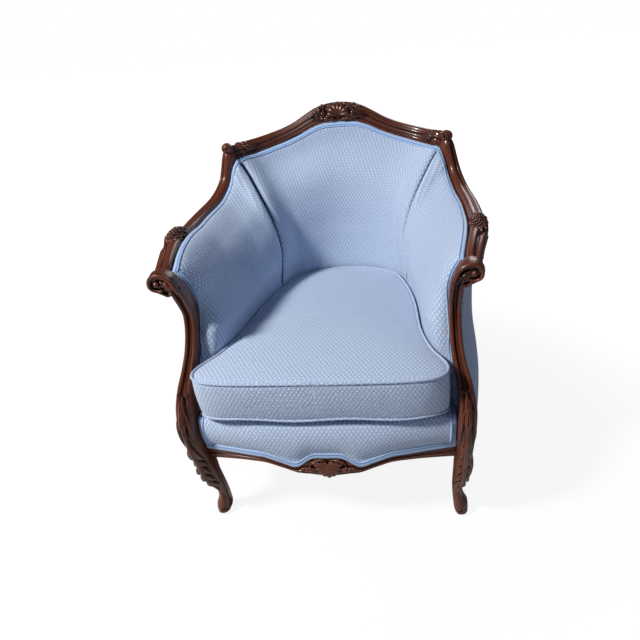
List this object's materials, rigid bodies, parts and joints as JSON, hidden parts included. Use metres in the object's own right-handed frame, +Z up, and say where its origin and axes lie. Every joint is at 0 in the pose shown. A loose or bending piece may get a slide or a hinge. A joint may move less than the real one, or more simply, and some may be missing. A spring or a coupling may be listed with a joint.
{
  "type": "club chair with carved show-wood frame",
  "caption": "Tub-shaped upholstered club chair with a carved, moulded show-wood frame, cabriole legs, scrolled arms and a loose boxed seat cushion.",
  "frame": {"origin": "on the floor, under the middle of the chair", "axes": "+Z up, the chair faces -Y, +X to the right as seen by somebody standing in front of it; left and right in node names are that viewer's"},
  "size_m": [0.7218, 0.7051, 0.8649],
  "materials": {
    "mahogany": "carved and moulded mahogany, stained dark red-brown and glossy",
    "frame_wood": "plain sawn hardwood",
    "screw_steel": "plain steel",
    "spring_wire": "drawn wire",
    "jute": "coarse woven jute",
    "deck_cloth": "plain cotton",
    "blue_cloth": "matte periwinkle cloth, woven with a small lozenge pattern",
    "blue_gimp": "corded braid, brighter blue than the cloth",
    "foam": "open-cell foam",
    "zip_tape": "woven tape with moulded coil",
    "slider_metal": "plated zip slider",
    "black_cambric": "thin black lining cloth",
    "glide_steel": "plain pressed steel"
  },
  "bodies": {
    "chair": {"crest_rail": "mahogany", "left_arm_rail": "mahogany", "right_arm_rail": "mahogany", "left_front_post": "mahogany", "right_front_post": "mahogany", "front_apron": "mahogany", "left_seat_rail": "frame_wood", "right_seat_rail": "frame_wood", "back_seat_rail": "frame_wood", "left_rear_post": "mahogany", "right_rear_post": "mahogany", "left_tack_rail": "frame_wood", "right_tack_rail": "frame_wood", "corner_blocks": "frame_wood", "block_screws": "screw_steel", "seat_webbing": "jute", "seat_springs": "spring_wire", "spring_twine": "jute", "seat_burlap": "jute", "seat_deck": "deck_cloth", "front_border": "blue_cloth", "back_webbing": "jute", "inside_back": "blue_cloth", "left_inside_arm": "blue_cloth", "right_inside_arm": "blue_cloth", "left_outside_arm": "blue_cloth", "right_outside_arm": "blue_cloth", "outside_back": "blue_cloth", "crest_gimp": "blue_gimp", "left_arm_gimp": "blue_gimp", "right_arm_gimp": "blue_gimp", "front_gimp": "blue_gimp", "dust_cover": "black_cambric", "foot_glides": "glide_steel"},
    "cushion": {"seat_cushion": "blue_cloth", "cushion_base": "blue_cloth", "cushion_core": "foam", "top_welt": "blue_cloth", "bottom_welt": "blue_cloth", "cushion_zip": "zip_tape"},
    "zip_puller": {"zip_slider": "slider_metal"}
  },
  "joints": [
    {"name": "cushion_lift", "type": "slide", "parent": "chair", "child": "cushion", "axis": [0, 0, 1], "range_m": [0, 0.6]},
    {"name": "zip_slide", "type": "hinge", "parent": "cushion", "child": "zip_puller", "pos_m": [0, 0.07459, 0.368], "axis": [0, 0, 1], "range_deg": [0, 73.9]}
  ]
}
